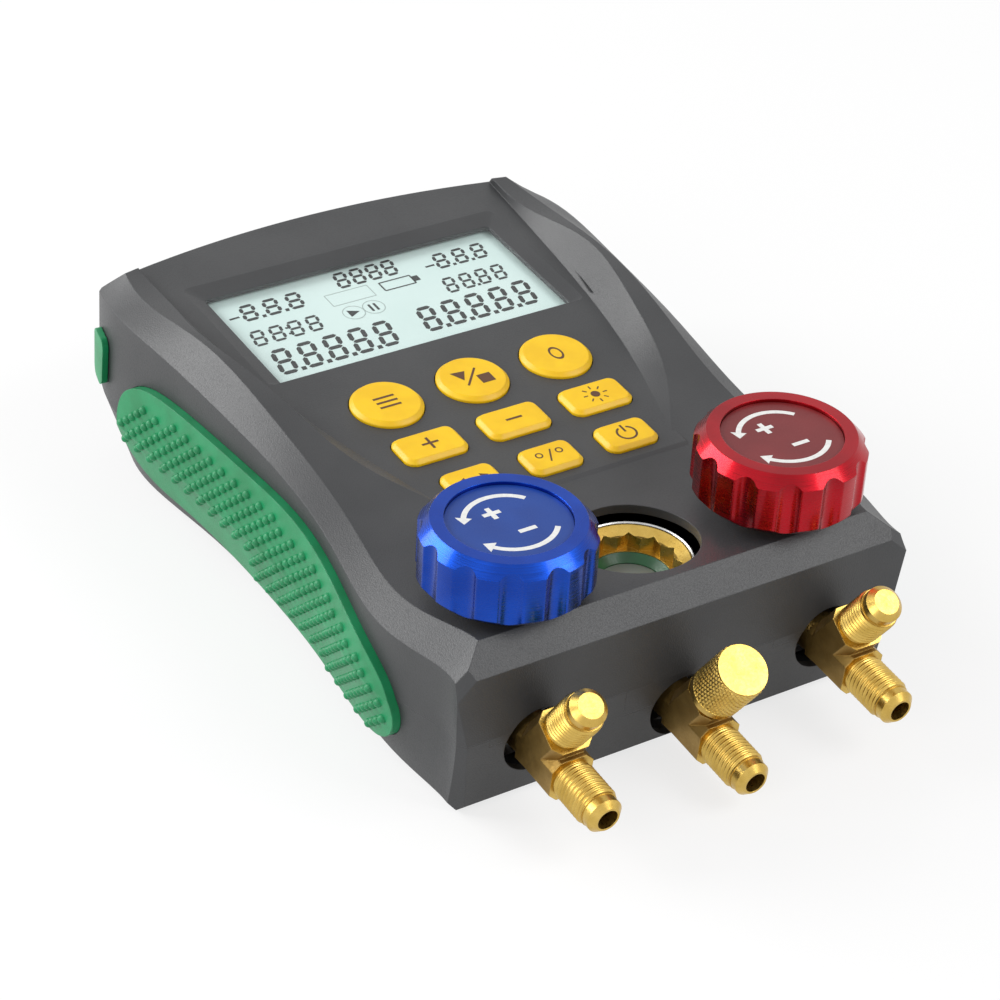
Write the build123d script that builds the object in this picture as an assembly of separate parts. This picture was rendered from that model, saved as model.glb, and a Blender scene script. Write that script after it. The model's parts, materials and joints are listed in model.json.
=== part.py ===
from build123d import *
import math
import os
from collections import namedtuple

# Digital refrigerant manifold gauge: two valves, three hose ports, a sight glass and a display.
# Millimetres. X runs across, Y runs from the hose ports to the display end, Z is up.
# The origin is the centre of the flat underside that the gauge rests on.

# Casing, lengths counted from the front wall to the rear
front_bay = 55.0
first_row_gap = 3.2
low_row_gap = 6.4
high_row_gap = 4.8
display_gap = 11.5
rear_bar = 28.6
casing_width = 140.2
wall = 2.5
parting_height = 22.5
front_rail_height = 44.0
crest_rail_height = 57.9
panel_height = 45.9
panel_slope = 3.43
panel_thickness = 2.5
rear_radius = 280.0
front_lean = 1.0
base_lean = 1.8
end_chamfer = 3.3
base_chamfer = 2.5
under_trim = 3.0
corner_cut = 50.5
corner_angle = 40.9
corner_lean = 7.0
seam_gap = 0.1

# Keys and what lies under them
round_key = 19.5
round_pitch = 26.0
mid_key_width = 18.5
mid_key_length = 11.5
mid_pitch = 25.2
small_key_width = 15.5
small_key_length = 11.0
small_pitch = 23.1
key_corner = 3.0
key_proud = 1.5
key_edge = 1.0
key_travel = 0.8
key_clearance = 0.25
key_flange = 1.2
key_flange_thickness = 1.0
dome_switch_diameter = 8.0
dome_switch_height = 1.05

# Display
window_width = 90.0
window_length = 43.6
window_sunk = 1.2
window_flange = 2.4
window_flange_thickness = 0.8
bezel_side = 4.0
bezel_rear = 5.4
bezel_front = 0.5
lcd_thickness = 1.1

# Circuit board
board_width = 98.0
board_thickness = 1.6
board_front = 2.5
board_screw_inset = 4.0
board_post_gap = 0.6

# Valves, knobs and their bonnets
knob_spacing = 80.0
knob_setback = 22.0
knob_top = 66.6
knob_height = 16.5
knob_radius = 21.8
knob_flutes = 12
flute_radius = 4.2
flute_depth = 1.4
knob_rim = 18.9
knob_dish = 15.5
knob_dish_depth = 0.9
knob_skirt = 2.4
knob_disc_thickness = 1.2
stem_diameter = 8.0
stem_grip = 9.0
valve_boss = 23.0
valve_boss_top = 39.0
packing_nut = 17.0
packing_nut_top = 49.2
turning_fit = 0.05

# Manifold block
block_width = 108.0
block_setback = 9.5
block_depth = 28.5
block_base = 6.0
block_top = 30.0
gallery = 5.0
sensor_spacing = 44.0
sensor_diameter = 15.0
sensor_length = 11.0

# Sight glass
sight_hole = 33.0
sight_setback = 25.5
sight_seat = 31.0
sight_top = 40.1
bezel_ring = 31.4
bezel_ring_bore = 29.8
sight_nut_bore = 20.8
sight_points = 12
sight_glass = 16.2
indicator_height = 3.4
glass_dome = 1.4

# Hose fittings, 1/4 inch SAE flare
port_pitch = 43.2
side_port_height = 17.2
middle_port_height = 11.4
side_step_inner = 26.0
side_step_outer = 57.0
side_step_drop = 2.3
middle_step = 18.0
middle_step_drop = 7.8
port_hole = 18.6
fork_reach = 4.0
bar_width = 11.6
bar_chamfer = 2.2
lower_arm = 27.4
upper_arm = 29.4
arm_drop = 5.0
arm_rise = 55.0
flare_thread = 11.1
flare_length = 15.8
flare_neck = 9.6
flare_tip = 6.6
flare_cone = 2.2
flare_relief = 1.6
port_bore = 5.5
stub_diameter = 9.5
stub_length = 9.0
cap_diameter = 13.8
cap_length = 16.0
cap_end = 1.5
seal_thickness = 0.6
core_diameter = 5.0

# Grips on the sides
grip_start = 22.2
grip_length = 141.5
grip_base = 4.0
grip_height = 38.0
grip_proud = 2.2
grip_sunk = 0.9
grip_gap = 0.1

# Sensor jacks and their covers, on the sides near the rear
jack_from_rear = 16.0
jack_height = 34.0
jack_diameter = 8.0
jack_length = 10.0
jack_bore = 3.6
cover_length = 9.5
cover_height = 14.0
cover_proud = 2.0
cover_gap = 0.2

# Batteries and their door
cell_diameter = 14.5
cell_length = 50.5
cell_pitch = 15.0
cell_count = 4
cell_clearance = 0.5
contact_space = 2.5
bay_wall = 2.6
bay_front = 104.0
door_thickness = 2.0
door_gap = 0.25
door_rim = 1.5
tongue_length = 2.5
tongue_thickness = 1.2
tongue_width = 10.0
latch_width = 14.0
latch_height = 5.0

# Fasteners
screw_diameter = 3.0
screw_head = 5.6
screw_head_height = 2.2
screw_boss = 8.0
screw_fit = 0.02
post_diameter = 6.0

# Values that follow from the ones above
key_rows = [first_row_gap + small_key_length / 2]
key_rows.append(key_rows[0] + small_key_length / 2 + low_row_gap + mid_key_length / 2)
key_rows.append(key_rows[1] + mid_key_length / 2 + high_row_gap + round_key / 2)
window_start = key_rows[2] + round_key / 2 + display_gap
casing_length = front_bay + window_start + window_length + rear_bar
half_width = casing_width / 2
board_rear_post = window_start + window_length + window_flange + board_post_gap + post_diameter / 2
board_middle_post = window_start - window_flange - board_post_gap - post_diameter / 2
board_length = board_rear_post + board_screw_inset - board_front
board_top = panel_thickness + seam_gap + key_flange_thickness + key_travel + 0.05 + dome_switch_height
flare_plain = flare_relief + flare_cone

os.makedirs("parts", exist_ok=True)


def along(setback):
    """Y of a place that lies the given distance behind the front wall."""
    return setback - casing_length / 2


def save(name, shape):
    export_step(shape, f"parts/{name}.step")


def tube(radius, bore, low, high, x=0.0, y=0.0):
    """Upright ring between two heights."""
    ring = Circle(radius) - Circle(bore)
    return Pos(x, y, low) * extrude(ring, high - low)


def rod(radius, low, high, x=0.0, y=0.0):
    """Upright round bar between two heights."""
    return Pos(x, y, low) * extrude(Circle(radius), high - low)


def block_at(x, y, z, size_x, size_y, size_z):
    """Box with its centre in X and Y and its foot in Z at the given place."""
    return Pos(x, y, z) * Box(size_x, size_y, size_z, align=(Align.CENTER, Align.CENTER, Align.MIN))


def mirrored(shape):
    return mirror(shape, Plane.YZ)


# Casing form
# Each section gives its place, the half width at the parting line, how far the chamfer's lower and
# upper edges stand inside it, the heights of those two edges, and the inset at the underside.
Section = namedtuple("Section", "place side edge_inset rail_inset edge_height rail_height foot_inset")


def casing_sections():
    high = crest_rail_height
    low = front_rail_height
    return [
        Section(-4.0, half_width + 0.2, 0.5, 7.4, low - 5.6, low, 2.6),
        Section(front_bay - 25, half_width - 0.6, 0.5, 7.5, low - 4.2, low + 0.6, 3.6),
        Section(front_bay - 3, half_width - 2.8, 0.6, 6.8, low - 2.6, low + 1.1, 3.1),
        Section(front_bay + 9, half_width - 4.5, 0.5, 6.6, low - 0.6, low + 2.8, 2.6),
        Section(front_bay + 20, half_width - 5.1, 0.5, 6.6, low + 1.4, low + 4.9, 2.8),
        Section(front_bay + 45, half_width - 4.0, 0.5, 6.8, high - 8.9, high - 3.4, 4.8),
        Section(casing_length - 54, half_width - 1.2, 0.7, 8.0, high - 6.4, high, 5.3),
        Section(casing_length - 12, half_width - 2.3, 0.6, 7.4, high - 7.9, high - 1.9, 7.4),
        Section(casing_length + 8, half_width - 3.6, 0.6, 7.0, high - 9.0, high - 3.4, 8.0),
    ]


def section_outline(section):
    """Corners of the right half, from below the underside up."""
    foot = section.side - section.foot_inset
    return [
        (foot - base_chamfer - under_trim, -under_trim),
        (foot, base_chamfer),
        (section.side, parting_height),
        (section.side - section.edge_inset, section.edge_height),
        (section.side - section.rail_inset, section.rail_height),
    ]


def inset_polygon(points, distance):
    """The closed polygon with every side moved inwards, for corners that run anticlockwise."""
    count = len(points)
    moved = []
    for index in range(count):
        (x0, z0), (x1, z1) = points[index], points[(index + 1) % count]
        length = math.hypot(x1 - x0, z1 - z0)
        nx, nz = -(z1 - z0) / length, (x1 - x0) / length
        moved.append((x0 + nx * distance, z0 + nz * distance, x1 - x0, z1 - z0))
    corners = []
    for index in range(count):
        ax, az, adx, adz = moved[index - 1]
        bx, bz, bdx, bdz = moved[index]
        share = ((bx - ax) * bdz - (bz - az) * bdx) / (adx * bdz - adz * bdx)
        corners.append((ax + share * adx, az + share * adz))
    return corners


def rear_trim(inset):
    """What is cut away behind the crowned rear wall, with its lean and chamfers."""
    wall_radius = rear_radius - inset
    chamfer_foot = crest_rail_height - 7.5
    top = crest_rail_height + 12
    profile = Polyline(
        (wall_radius - base_lean - base_chamfer, 0),
        (wall_radius - base_lean, base_chamfer),
        (wall_radius, parting_height),
        (wall_radius - front_lean, chamfer_foot),
        (wall_radius - front_lean - (top - chamfer_foot), top),
        (rear_radius + 40, top),
        (rear_radius + 40, -10),
        (wall_radius - base_lean - base_chamfer, -10),
        close=True,
    )
    face = Plane.XZ * make_face(profile)
    swept = revolve(face, Axis.Z, 60)
    return Pos(0, along(casing_length) - rear_radius, 0) * Rot(0, 0, 60) * swept


def outward_half(point, normal):
    """A large block that fills the side of a plane that the normal points to."""
    return Plane(origin=point, z_dir=normal) * Box(400, 400, 120, align=(Align.CENTER, Align.CENTER, Align.MIN))


def front_trim(inset):
    """What is cut away in front of the front wall, with its lean and chamfers."""
    shift = along(0) + inset
    low = front_rail_height
    profile = Polyline(
        (shift + front_lean + base_chamfer, 0),
        (shift + front_lean, base_chamfer),
        (shift - front_lean, parting_height),
        (shift, low - end_chamfer),
        (shift + end_chamfer + 16, low + 16),
        (shift - 30, low + 16),
        (shift - 30, -10),
        (shift + front_lean + base_chamfer, -10),
        close=True,
    )
    face = Plane.YZ * make_face(profile)
    return extrude(face, 100, both=True)


def corner_trims(inset):
    """The facets at the front corners and the slanted diamond above each."""
    angle = math.radians(corner_angle)
    lean = math.radians(corner_lean)
    flat = Vector(math.cos(angle) * math.cos(lean), -math.sin(angle) * math.cos(lean), -math.sin(lean))
    facet_height = front_rail_height - 6
    place = Vector(math.cos(angle), -math.sin(angle), 0) * (corner_cut - inset)
    facet = outward_half(Vector(place.X, place.Y + along(0), facet_height), flat)
    rail = half_width + 0.2 - 7.4
    diamond_normal = Vector(0.434, -0.740, 0.516)
    diamond_point = Vector(rail, along(end_chamfer), front_rail_height) - diamond_normal * inset
    diamond = outward_half(diamond_point, diamond_normal)
    return [facet, mirrored(facet), diamond, mirrored(diamond)]


def casing_form(inset):
    """The closed outer form of the casing, moved inwards by a distance."""
    faces = []
    for section in casing_sections():
        right = section_outline(section)
        left = [(-x, z) for x, z in reversed(right)]
        corners = inset_polygon(right + left, inset)
        wire = Polyline(*[(x, z) for x, z in corners], close=True)
        plane = Plane(origin=(0, along(section.place), 0), x_dir=(1, 0, 0), z_dir=(0, -1, 0))
        faces.append(plane * make_face(wire))
    form = loft(faces)
    form -= block_at(0, 0, inset - 10, 2 * casing_width, 2 * casing_length, 10)
    form -= rear_trim(inset)
    form -= front_trim(inset)
    for trim in corner_trims(inset):
        form -= trim
    return form


# Panel: a local frame on the sloped face that carries the keys and the display
panel_frame = Pos(0, along(front_bay), panel_height) * Rot(panel_slope, 0, 0)


def on_panel(shape):
    """Moves a shape from panel coordinates (x, along the panel, above it) into place."""
    return panel_frame * shape


def valley(margin):
    """The hollow between the side rails, down to the panel, made larger by a margin."""
    # Place along the panel, how far the floor's edge lies inside the casing's side, and how much the
    # wall flares for each millimetre that it rises
    length = casing_length - front_bay + 12
    stations = [
        (0.0, half_width - 36.1, 3.0),
        (22.0, half_width - 29.8, 2.3),
        (38.0, half_width - 25.3, 1.3),
        (70.0, half_width - 19.3, 0.8),
        (105.0, half_width - 15.5, 0.7),
        (length, half_width - 11.7, 0.4),
    ]
    depth = crest_rail_height - front_rail_height
    faces = []
    for place, half_floor, flare in stations:
        low = half_floor + margin
        high = half_floor + margin + flare * (depth + margin)
        outline = Polyline((-low, -margin), (low, -margin), (high, depth), (-high, depth), close=True)
        plane = Plane(origin=(0, place, 0), x_dir=(1, 0, 0), z_dir=(0, -1, 0))
        faces.append(plane * make_face(outline))
    return on_panel(loft(faces))


def panel_step():
    """The low step where the panel rises out of the platform in front of it."""
    half_step = 36.5
    slope = math.tan(math.radians(panel_slope))
    top = panel_height + 13 * slope
    profile = Polyline(
        (along(front_bay - 1.7), front_rail_height - 0.4),
        (along(front_bay - 1.7), panel_height - 1.0),
        (along(front_bay + 0.5), panel_height + 0.5 * slope),
        (along(front_bay + 13), top),
        (along(front_bay + 13), front_rail_height - 0.4),
        close=True,
    )
    return extrude(Plane.YZ * make_face(profile), half_step, both=True)


def knob_places():
    return [(-knob_spacing / 2, along(knob_setback)), (knob_spacing / 2, along(knob_setback))]


def port_places():
    return [
        (-port_pitch, side_port_height),
        (0.0, middle_port_height),
        (port_pitch, side_port_height),
    ]


def key_places():
    """Name, x, place along the panel, width and length of each key; round keys have no length."""
    small, middle, round_row = key_rows
    return [
        ("unit_key", -small_pitch, small, small_key_width, small_key_length),
        ("scale_key", 0.0, small, small_key_width, small_key_length),
        ("power_key", small_pitch, small, small_key_width, small_key_length),
        ("plus_key", -mid_pitch, middle, mid_key_width, mid_key_length),
        ("minus_key", 0.0, middle, mid_key_width, mid_key_length),
        ("backlight_key", mid_pitch, middle, mid_key_width, mid_key_length),
        ("mode_key", -round_pitch, round_row, round_key, None),
        ("select_key", 0.0, round_row, round_key, None),
        ("zero_key", round_pitch, round_row, round_key, None),
    ]


def key_outline(width, length, grow):
    if length is None:
        return Circle(width / 2 + grow)
    return RectangleRounded(width + 2 * grow, length + 2 * grow, key_corner + grow)


# Keys
def key_cap(width, length):
    """A moulded key: chamfered crown above the panel, flange under it."""
    height = key_proud + panel_thickness + seam_gap
    cap = Pos(0, 0, key_proud - height) * extrude(key_outline(width, length, 0), height)
    top = cap.faces().sort_by(Axis.Z)[-1]
    cap = chamfer(top.edges(), key_edge)
    flange_top = -panel_thickness - seam_gap
    flange = Pos(0, 0, flange_top - key_flange_thickness) * extrude(
        key_outline(width, length, key_flange), key_flange_thickness
    )
    return cap + flange


def make_keys():
    for name, x, place, width, length in key_places():
        save(name, on_panel(Pos(x, place, 0) * key_cap(width, length)))


# Screws in the casing, from below
def casing_screw_places():
    return [
        (half_width - 10.0, along(14.0)),
        (half_width - 13.0, along(front_bay + 36)),
        (half_width - 23.0, along(casing_length - 14)),
    ]


def both_sides(places):
    return [(side * x, y) for x, y in places for side in (-1, 1)]


screw_seat = 8.0
screw_tip = parting_height + 9.0


def screw(low, high, head_down):
    """A pan-head screw on the Z axis between two heights, with the head at one end."""
    if head_down:
        head = Pos(0, 0, low - screw_head_height) * extrude(Circle(screw_head / 2), screw_head_height)
    else:
        head = Pos(0, 0, high) * extrude(Circle(screw_head / 2), screw_head_height)
    return rod(screw_diameter / 2, low, high) + head


# Circuit board
def board_screw_places():
    x = board_width / 2 - board_screw_inset
    front = board_front + board_screw_inset
    return [
        (side * x, place) for place in (front, board_middle_post, board_rear_post) for side in (-1, 1)
    ]


def make_board():
    centre = board_front + board_length / 2
    board = Pos(0, centre, -board_top - board_thickness) * extrude(
        RectangleRounded(board_width, board_length, 2.0), board_thickness
    )
    for x, place in board_screw_places():
        board -= rod(screw_diameter / 2 + 0.2, -board_top - 5, 0, x, place)
    save("circuit_board", on_panel(board))
    screws = []
    head_seat = -board_top - board_thickness
    for x, place in board_screw_places():
        screws.append(Pos(x, place, 0) * screw(head_seat, -panel_thickness - 0.4, True))
    save("board_screws", on_panel(Compound(screws)))
    switches = []
    for name, x, place, width, length in key_places():
        switches.append(Pos(x, place, -board_top) * Cylinder(
            dome_switch_diameter / 2, dome_switch_height, align=(Align.CENTER, Align.CENTER, Align.MIN)
        ))
    save("dome_switches", on_panel(Compound(switches)))


# Display
def make_display():
    centre = window_start + window_length / 2
    window_low = -panel_thickness - seam_gap
    pane_height = -window_sunk - 0.05 - window_low
    pane = Pos(0, centre, window_low) * extrude(
        RectangleRounded(window_width - 2 * seam_gap, window_length - 2 * seam_gap, 1.2), pane_height
    )
    flange = Pos(0, centre, window_low - window_flange_thickness) * extrude(
        Rectangle(window_width + 2 * window_flange, window_length + 2 * window_flange), window_flange_thickness
    )
    save("display_window", on_panel(pane + flange))
    lcd_top = window_low - window_flange_thickness - 0.05
    lcd = Pos(0, centre, lcd_top - lcd_thickness) * extrude(
        Rectangle(window_width + 2, window_length + 4), lcd_thickness
    )
    save("lcd_glass", on_panel(lcd))
    light_height = board_top + lcd_top - lcd_thickness
    light = Pos(0, centre, -board_top) * extrude(Rectangle(window_width, window_length + 2), light_height)
    save("backlight_plate", on_panel(light))


def display_cut():
    """Opening for the window, with slanted walls at the sides and rear."""
    centre = window_start + window_length / 2
    opening = Pos(0, centre, -panel_thickness - 1) * extrude(
        RectangleRounded(window_width, window_length, 1.3), panel_thickness + 2
    )
    above = window_sunk
    low_plane = Pos(0, centre, -window_sunk) * RectangleRounded(window_width, window_length, 1.3)
    share = (window_sunk + above) / window_sunk
    wide = window_width + 2 * bezel_side * share
    long = window_length + (bezel_rear + bezel_front) * share
    shift = (bezel_rear - bezel_front) / 2 * share
    high_plane = Pos(0, centre + shift, above) * RectangleRounded(wide, long, 1.3 * share)
    return on_panel(opening + loft([low_plane, high_plane]))


# Grips
# The outline in side view, as shares of the grip's length and height: round the rear end from the
# middle of the lower edge to the middle of the upper one, then round the front end and back
grip_rear_edge = [
    (0.35, 0.06), (0.60, 0.095), (0.83, 0.13), (0.94, 0.21), (0.985, 0.37), (0.995, 0.56),
    (0.975, 0.77), (0.92, 0.91), (0.83, 0.97), (0.72, 0.985),
]
grip_front_edge = [
    (0.61, 0.99), (0.50, 0.985), (0.39, 0.96), (0.29, 0.90), (0.18, 0.82), (0.09, 0.73),
    (0.03, 0.60), (0.003, 0.42), (0.01, 0.22), (0.05, 0.085), (0.13, 0.035), (0.24, 0.04),
]


def grip_zone(gap):
    """The column across the casing's right side inside which the grip lies."""
    points = []
    for t, h in grip_rear_edge + grip_front_edge:
        points.append((along(grip_start + t * grip_length), grip_base + h * grip_height))
    points = inset_polygon(points, -gap)
    top = len(grip_rear_edge)
    rear = Spline(*points[:top + 1], tangents=[(1, 0.04), (-1, 0)])
    front = Spline(*points[top:], points[0], tangents=[(-1, 0), (1, 0.04)])
    face = make_face([rear, front])
    return Pos(half_width - 25, 0, 0) * (Plane.YZ * extrude(face, 40))


# Sensor jacks and covers
jack_setback = casing_length - jack_from_rear


def cover_zone():
    face = RectangleRounded(cover_length, cover_height, 2.5)
    return Pos(half_width - 25, along(jack_setback), jack_height) * (Plane.YZ * extrude(face, 40))


def jack_seat(radius):
    """Bar along X through the right side wall, from the jack's inner end outwards."""
    start = half_width - 2.3 - wall - 0.8 - jack_length + 2.0
    bar = Cylinder(radius, 40, align=(Align.CENTER, Align.CENTER, Align.MIN))
    return Pos(start, along(jack_setback), jack_height) * Rot(0, 90, 0) * bar


def make_jacks(recess_form):
    """Stereo jacks that end flush inside the wall, open towards their covers."""
    barrel = jack_seat(jack_diameter / 2) & recess_form
    barrel -= jack_seat(jack_bore / 2).moved(Location((1.5, 0, 0)))
    save("right_sensor_jack", barrel)
    save("left_sensor_jack", mirrored(barrel))


# Battery bay and door
bay_width = cell_pitch * (cell_count - 1) + cell_diameter + 2 * cell_clearance
bay_length = cell_length + 2 * contact_space
bay_height = door_thickness + 0.3 + cell_diameter + cell_clearance
bay_centre = along(bay_front + bay_length / 2)
door_width = bay_width + 2 * door_rim
door_length = bay_length + 2 * door_rim
door_front = bay_centre - door_length / 2
tongue_base = wall + 0.1


def tongue_places():
    return [-bay_width / 4, bay_width / 4]


def make_batteries():
    cells = []
    axis_height = door_thickness + 0.3 + cell_diameter / 2
    for index in range(cell_count):
        x = (index - (cell_count - 1) / 2) * cell_pitch
        turn = 90 if index % 2 else -90
        body = Cylinder(cell_diameter / 2, cell_length - 1.2)
        nub = Pos(0, 0, cell_length / 2 - 0.6) * Cylinder(2.7, 1.2)
        cell = Pos(0, 0, -0.6) * body + Pos(0, 0, -0.6) * nub
        cells.append(Pos(x, bay_centre, axis_height) * Rot(turn, 0, 0) * cell)
    save("batteries", Compound(cells))
    contacts = []
    for x_index in range(cell_count):
        x = (x_index - (cell_count - 1) / 2) * cell_pitch
        for end in (-1, 1):
            y = bay_centre + end * (bay_length / 2 - 0.3)
            plate = block_at(x, y, door_thickness + 2.4, cell_pitch - 3, 0.5, cell_diameter - 3.4)
            reach = contact_space - 0.55 - 0.1
            dimple = Pos(x, y - end * 0.25, axis_height) * Rot(end * 90, 0, 0) * Cone(
                3.0, 1.5, reach, align=(Align.CENTER, Align.CENTER, Align.MIN)
            )
            contacts.append(plate + dimple)
    save("battery_contacts", Compound(contacts))


def make_battery_door():
    plate = block_at(0, bay_centre, 0, door_width - 2 * door_gap, door_length - 2 * door_gap, door_thickness)
    for x in tongue_places():
        neck = block_at(x, door_front + door_rim + 1.1, door_thickness, tongue_width, 1.6, 1.8)
        reach = tongue_length + door_rim + 1.1 + 0.8
        tongue = block_at(
            x, door_front - tongue_length + reach / 2, tongue_base, tongue_width, reach, tongue_thickness
        )
        plate += neck + tongue
    rear = bay_centre + bay_length / 2
    plate += block_at(0, rear + 0.65, door_thickness, latch_width, 1.1, latch_height)
    for index in range(5):
        plate -= block_at(0, rear - 4 - index * 2.4, -0.5, 16.0, 1.0, 1.0)
    save("battery_door", plate)


def battery_bay():
    """The tray that is moulded into the lower casing, as a solid with its own hollow."""
    outer = block_at(
        0, bay_centre, 0, bay_width + 2 * bay_wall, bay_length + 2 * bay_wall, bay_height + bay_wall
    )
    hollow = block_at(0, bay_centre, -1, bay_width, bay_length, bay_height + 1)
    mouth = block_at(0, bay_centre, -1, door_width, door_length, door_thickness + 1 + 0.05)
    slots = []
    for x in tongue_places():
        slots.append(block_at(
            x, door_front, door_thickness, tongue_width + 0.6, 2 * tongue_length + 6, 3.6
        ))
    rear = bay_centre + bay_length / 2
    slots.append(block_at(0, rear + 0.85, door_thickness, latch_width + 0.6, 1.8, latch_height + 1.0))
    return outer, [hollow, mouth] + slots


# Casing halves
def front_parting():
    """Front wall of the lower casing above or below the general parting line, by the ports."""
    depth = 4 * wall
    shelf = block_at(0, along(0), -1, casing_width + 20, depth, parting_height + 1)
    shelf -= block_at(0, along(0), parting_height - middle_step_drop, 2 * middle_step, depth, 20)
    span = side_step_outer - side_step_inner
    for side in (-1, 1):
        x = side * (side_step_inner + span / 2)
        shelf -= block_at(x, along(0), parting_height - side_step_drop, span, depth, 20)
    return shelf


def lower_region():
    middle = along(2 * wall) + casing_length
    rear = block_at(0, middle, -1, casing_width + 20, 2 * casing_length, parting_height + 1)
    return rear + front_parting()


def make_casings(outer, cavity, recess_form):
    region = lower_region()
    right_recess = grip_zone(1.5 * grip_gap) - recess_form
    recess_cut = [right_recess, mirrored(right_recess)]
    ports = []
    for x, height in port_places():
        ports.append(Pos(x, along(0), height) * Rot(90, 0, 0) * Cylinder(port_hole / 2, 6 * wall))

    # Lower half
    bay, bay_cuts = battery_bay()
    low_keep = [bay]
    for x, y in both_sides(casing_screw_places()):
        low_keep.append(rod(screw_boss / 2, 0, parting_height, x, y))
    for x, y in block_posts():
        low_keep.append(rod(screw_boss / 2, 0, block_base, x, y))
    hollow = cavity - low_keep
    lower = (outer & region) - hollow - bay_cuts - recess_cut - ports
    for x, y in both_sides(casing_screw_places()):
        lower -= rod(screw_diameter / 2 + 0.2, -1, parting_height + 1, x, y)
        lower -= rod(screw_head / 2 + 0.3, -1, screw_seat, x, y)
    for x, y in block_posts():
        lower -= rod(screw_diameter / 2 + screw_fit, wall, block_base + 1, x, y)
    save("lower_casing", lower)

    # Upper half
    high_keep = []
    for x, y in both_sides(casing_screw_places()):
        high_keep.append(rod(screw_boss / 2, parting_height, crest_rail_height + 5, x, y))
    for x, place in board_screw_places():
        high_keep.append(on_panel(rod(post_diameter / 2, -board_top, 5, x, place)))
    upper_cavity = cavity - valley(panel_thickness) - high_keep
    upper = (outer + panel_step() - region) - upper_cavity - valley(0) - recess_cut - ports
    upper -= display_cut()
    for name, x, place, width, length in key_places():
        hole = Pos(x, place, -panel_thickness - 1) * extrude(
            key_outline(width, length, key_clearance), panel_thickness + 3
        )
        relief = Pos(x, place, -board_top) * extrude(
            key_outline(width, length, key_flange + key_clearance), board_top - panel_thickness
        )
        upper -= on_panel(hole + relief)
    for x, y in knob_places():
        upper -= rod(packing_nut / 2 / math.cos(math.pi / 6) + 0.6, parting_height, crest_rail_height, x, y)
    upper -= rod(sight_hole / 2, parting_height, crest_rail_height, 0, along(sight_setback))
    for x, y in both_sides(casing_screw_places()):
        upper -= rod(screw_diameter / 2 + screw_fit, parting_height - 1, screw_tip + 1, x, y)
    for x, place in board_screw_places():
        upper -= on_panel(rod(screw_diameter / 2 + screw_fit, -board_top - 1, -panel_thickness + 0.2, x, place))
    for bar in (jack_seat(jack_diameter / 2 + turning_fit), mirrored(jack_seat(jack_diameter / 2 + turning_fit))):
        upper -= bar
    save("upper_casing", upper)

    screws = []
    for x, y in both_sides(casing_screw_places()):
        screws.append(Pos(x, y, 0) * screw(screw_seat, screw_tip, True))
    save("casing_screws", Compound(screws))


def make_grips(recess_form):
    proud_form = casing_form(-grip_proud)
    seat_form = casing_form(grip_sunk - grip_gap)
    right = (grip_zone(grip_gap / 2) - seat_form) & proud_form
    save("right_grip", right)
    save("left_grip", mirrored(right))


def make_covers():
    outside = casing_form(-cover_proud) - casing_form(-cover_gap)
    cover = cover_zone() & outside
    save("right_port_cover", cover)
    save("left_port_cover", mirrored(cover))


# Manifold block
def block_posts():
    front = (port_pitch / 2, along(block_setback + 5.0))
    rear = (block_width / 2 - 5.0, along(block_setback + block_depth - 5.0))
    return both_sides([front, rear])


def make_manifold():
    middle = along(block_setback + block_depth / 2)
    body = block_at(0, middle, block_base, block_width, block_depth, block_top - block_base)
    body = chamfer(body.edges().filter_by(Axis.Z), 3.0)
    for x, y in knob_places():
        body += rod(valve_boss / 2, block_top - 1, valve_boss_top, x, y)
    body += rod(bezel_ring / 2 + 0.6, block_top - 1, sight_seat, 0, along(sight_setback))
    for x, y in knob_places():
        body -= rod(stem_diameter / 2 + turning_fit, block_top - 8, valve_boss_top + 1, x, y)
        body -= rod(gallery / 2, side_port_height, block_top, x, y)
    body -= Pos(0, along(knob_setback), side_port_height) * Rot(0, 90, 0) * Cylinder(gallery / 2, knob_spacing)
    body -= rod(gallery / 2, middle_port_height, sight_seat + 1, 0, along(knob_setback))
    for x, height in port_places():
        bore = extrude(Circle(stub_diameter / 2 + turning_fit), stub_length + 0.5)
        body -= Pos(x, along(block_setback), height) * Rot(-90, 0, 0) * bore
    for side in (-1, 1):
        body -= Pos(side * sensor_spacing / 2, along(block_setback + block_depth), side_port_height) * Rot(
            90, 0, 0
        ) * Cylinder(3.0 + turning_fit, 12.0)
    for x, y in block_posts():
        body -= rod(screw_diameter / 2 + 0.2, 0, block_top + 1, x, y)
        body -= rod(screw_head / 2 + 0.3, block_base + 8, block_top + 1, x, y)
    save("manifold_block", body)
    screws = []
    for x, y in block_posts():
        screws.append(Pos(x, y, 0) * screw(wall + 0.4, block_base + 8, False))
    save("manifold_screws", Compound(screws))
    sensors = []
    for side in (-1, 1):
        face = along(block_setback + block_depth)
        stub = Cylinder(3.0, 5.5, align=(Align.CENTER, Align.CENTER, Align.MAX))
        hexagon = extrude(RegularPolygon(sensor_diameter / 2, 6), 4.0)
        can = Pos(0, 0, 4.0) * extrude(Circle(sensor_diameter / 2 - 0.8), sensor_length - 4.0)
        sensor = Pos(side * sensor_spacing / 2, face, side_port_height) * Rot(-90, 0, 0) * (stub + hexagon + can)
        sensors.append(sensor)
    save("pressure_sensors", Compound(sensors))


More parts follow.
